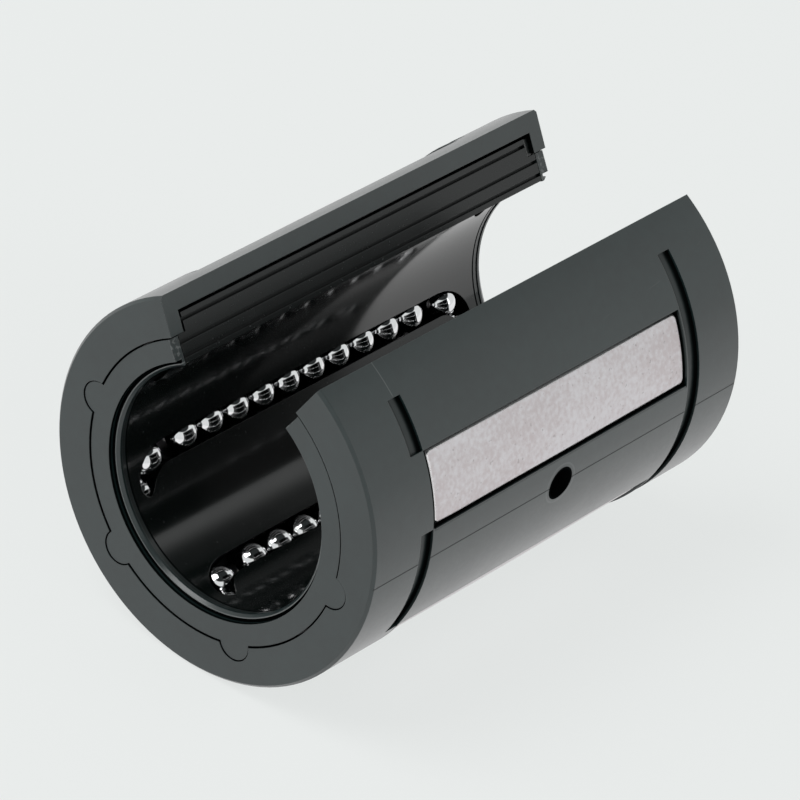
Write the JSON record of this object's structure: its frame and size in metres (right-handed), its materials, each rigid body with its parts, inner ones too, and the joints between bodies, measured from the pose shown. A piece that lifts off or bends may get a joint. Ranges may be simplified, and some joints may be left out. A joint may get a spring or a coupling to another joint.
{
  "type": "open linear ball bushing",
  "caption": "Open linear ball bushing: a slotted plastic sleeve with steel bearing plates and recirculating balls that carries a supported round shaft.",
  "frame": {"origin": "on the shaft's axis at the middle of the bushing's length", "axes": "+X along the shaft towards the rear end, +Z out through the middle of the slot; the front end is at -X, and the arm with the locating hole is on the -Y side"},
  "size_m": [0.058, 0.04, 0.0374],
  "materials": {
    "housing_plastic": "satin moulded plastic, dark grey",
    "retainer_plastic": "glossy black moulded plastic",
    "plate_steel": "ground hardened steel",
    "ball_steel": "polished bearing steel"
  },
  "bodies": {
    "housing": {"outer_sleeve": "housing_plastic", "ball_retainer": "retainer_plastic", "front_end_ring": "housing_plastic", "rear_end_ring": "housing_plastic"},
    "bearing_plate_1": {"bearing_plate_1": "plate_steel"},
    "loaded_balls_1": {"loaded_balls_1": "ball_steel"},
    "rear_turn_balls_1": {"rear_turn_balls_1": "ball_steel"},
    "return_balls_1": {"return_balls_1": "ball_steel"},
    "front_turn_balls_1": {"front_turn_balls_1": "ball_steel"},
    "bearing_plate_2": {"bearing_plate_2": "plate_steel"},
    "loaded_balls_2": {"loaded_balls_2": "ball_steel"},
    "rear_turn_balls_2": {"rear_turn_balls_2": "ball_steel"},
    "return_balls_2": {"return_balls_2": "ball_steel"},
    "front_turn_balls_2": {"front_turn_balls_2": "ball_steel"},
    "bearing_plate_3": {"bearing_plate_3": "plate_steel"},
    "loaded_balls_3": {"loaded_balls_3": "ball_steel"},
    "rear_turn_balls_3": {"rear_turn_balls_3": "ball_steel"},
    "return_balls_3": {"return_balls_3": "ball_steel"},
    "front_turn_balls_3": {"front_turn_balls_3": "ball_steel"},
    "bearing_plate_4": {"bearing_plate_4": "plate_steel"},
    "loaded_balls_4": {"loaded_balls_4": "ball_steel"},
    "rear_turn_balls_4": {"rear_turn_balls_4": "ball_steel"},
    "return_balls_4": {"return_balls_4": "ball_steel"},
    "front_turn_balls_4": {"front_turn_balls_4": "ball_steel"},
    "bearing_plate_5": {"bearing_plate_5": "plate_steel"},
    "loaded_balls_5": {"loaded_balls_5": "ball_steel"},
    "rear_turn_balls_5": {"rear_turn_balls_5": "ball_steel"},
    "return_balls_5": {"return_balls_5": "ball_steel"},
    "front_turn_balls_5": {"front_turn_balls_5": "ball_steel"}
  },
  "joints": [
    {"name": "plate_rock_1", "type": "hinge", "parent": "housing", "child": "bearing_plate_1", "pos_m": [0, -0.01856, 0.00705], "axis": [0, 0.3551, 0.9348], "range_deg": [-0.5, 0.5]},
    {"name": "loaded_run_1", "type": "slide", "parent": "housing", "child": "loaded_balls_1", "axis": [1, 0, 0], "range_m": [-0.00197, 0.00197]},
    {"name": "return_run_1", "type": "slide", "parent": "housing", "child": "return_balls_1", "axis": [-1, 0, 0], "range_m": [-0.00198, 0.00198]},
    {"name": "rear_turn_1", "type": "hinge", "parent": "housing", "child": "rear_turn_balls_1", "pos_m": [0.0212, -0.01202, 0.00858], "axis": [0, -0.9348, 0.3551], "range_deg": [-30.2, 30.2]},
    {"name": "front_turn_1", "type": "hinge", "parent": "housing", "child": "front_turn_balls_1", "pos_m": [-0.0212, -0.01202, 0.00858], "axis": [0, -0.9348, 0.3551], "range_deg": [-30.2, 30.2]},
    {"name": "plate_rock_2", "type": "hinge", "parent": "housing", "child": "bearing_plate_2", "pos_m": [0, -0.01538, -0.01255], "axis": [0, -0.632, 0.7749], "range_deg": [-0.5, 0.5]},
    {"name": "loaded_run_2", "type": "slide", "parent": "housing", "child": "loaded_balls_2", "axis": [1, 0, 0], "range_m": [-0.00197, 0.00197]},
    {"name": "return_run_2", "type": "slide", "parent": "housing", "child": "return_balls_2", "axis": [-1, 0, 0], "range_m": [-0.00198, 0.00198]},
    {"name": "rear_turn_2", "type": "hinge", "parent": "housing", "child": "rear_turn_balls_2", "pos_m": [0.0212, -0.01344, -0.00612], "axis": [0, -0.7749, -0.632], "range_deg": [-30.2, 30.2]},
    {"name": "front_turn_2", "type": "hinge", "parent": "housing", "child": "front_turn_balls_2", "pos_m": [-0.0212, -0.01344, -0.00612], "axis": [0, -0.7749, -0.632], "range_deg": [-30.2, 30.2]},
    {"name": "plate_rock_3", "type": "hinge", "parent": "housing", "child": "bearing_plate_3", "pos_m": [0, 0.00317, -0.01959], "axis": [0, -0.9871, -0.1599], "range_deg": [-0.5, 0.5]},
    {"name": "loaded_run_3", "type": "slide", "parent": "housing", "child": "loaded_balls_3", "axis": [1, 0, 0], "range_m": [-0.00197, 0.00197]},
    {"name": "return_run_3", "type": "slide", "parent": "housing", "child": "return_balls_3", "axis": [-1, 0, 0], "range_m": [-0.00198, 0.00198]},
    {"name": "rear_turn_3", "type": "hinge", "parent": "housing", "child": "rear_turn_balls_3", "pos_m": [0.0212, -0.00142, -0.0147], "axis": [0, 0.1599, -0.9871], "range_deg": [-30.2, 30.2]},
    {"name": "front_turn_3", "type": "hinge", "parent": "housing", "child": "front_turn_balls_3", "pos_m": [-0.0212, -0.00142, -0.0147], "axis": [0, 0.1599, -0.9871], "range_deg": [-30.2, 30.2]},
    {"name": "plate_rock_4", "type": "hinge", "parent": "housing", "child": "bearing_plate_4", "pos_m": [0, 0.01856, -0.00705], "axis": [0, -0.3551, -0.9348], "range_deg": [-0.5, 0.5]},
    {"name": "loaded_run_4", "type": "slide", "parent": "housing", "child": "loaded_balls_4", "axis": [1, 0, 0], "range_m": [-0.00197, 0.00197]},
    {"name": "return_run_4", "type": "slide", "parent": "housing", "child": "return_balls_4", "axis": [-1, 0, 0], "range_m": [-0.00198, 0.00198]},
    {"name": "rear_turn_4", "type": "hinge", "parent": "housing", "child": "rear_turn_balls_4", "pos_m": [0.0212, 0.01202, -0.00858], "axis": [0, 0.9348, -0.3551], "range_deg": [-30.2, 30.2]},
    {"name": "front_turn_4", "type": "hinge", "parent": "housing", "child": "front_turn_balls_4", "pos_m": [-0.0212, 0.01202, -0.00858], "axis": [0, 0.9348, -0.3551], "range_deg": [-30.2, 30.2]},
    {"name": "plate_rock_5", "type": "hinge", "parent": "housing", "child": "bearing_plate_5", "pos_m": [0, 0.01538, 0.01255], "axis": [0, 0.632, -0.7749], "range_deg": [-0.5, 0.5]},
    {"name": "loaded_run_5", "type": "slide", "parent": "housing", "child": "loaded_balls_5", "axis": [1, 0, 0], "range_m": [-0.00197, 0.00197]},
    {"name": "return_run_5", "type": "slide", "parent": "housing", "child": "return_balls_5", "axis": [-1, 0, 0], "range_m": [-0.00198, 0.00198]},
    {"name": "rear_turn_5", "type": "hinge", "parent": "housing", "child": "rear_turn_balls_5", "pos_m": [0.0212, 0.01344, 0.00612], "axis": [0, 0.7749, 0.632], "range_deg": [-30.2, 30.2]},
    {"name": "front_turn_5", "type": "hinge", "parent": "housing", "child": "front_turn_balls_5", "pos_m": [-0.0212, 0.01344, 0.00612], "axis": [0, 0.7749, 0.632], "range_deg": [-30.2, 30.2]}
  ],
  "couplings": [
    {"joint": "return_run_1", "follows": "loaded_run_1", "ratio": 1},
    {"joint": "rear_turn_1", "follows": "loaded_run_1", "rad_per_m": 266.46},
    {"joint": "front_turn_1", "follows": "loaded_run_1", "rad_per_m": 266.46},
    {"joint": "return_run_2", "follows": "loaded_run_2", "ratio": 1},
    {"joint": "rear_turn_2", "follows": "loaded_run_2", "rad_per_m": 266.46},
    {"joint": "front_turn_2", "follows": "loaded_run_2", "rad_per_m": 266.46},
    {"joint": "return_run_3", "follows": "loaded_run_3", "ratio": 1},
    {"joint": "rear_turn_3", "follows": "loaded_run_3", "rad_per_m": 266.46},
    {"joint": "front_turn_3", "follows": "loaded_run_3", "rad_per_m": 266.46},
    {"joint": "return_run_4", "follows": "loaded_run_4", "ratio": 1},
    {"joint": "rear_turn_4", "follows": "loaded_run_4", "rad_per_m": 266.46},
    {"joint": "front_turn_4", "follows": "loaded_run_4", "rad_per_m": 266.46},
    {"joint": "return_run_5", "follows": "loaded_run_5", "ratio": 1},
    {"joint": "rear_turn_5", "follows": "loaded_run_5", "rad_per_m": 266.46},
    {"joint": "front_turn_5", "follows": "loaded_run_5", "rad_per_m": 266.46}
  ]
}
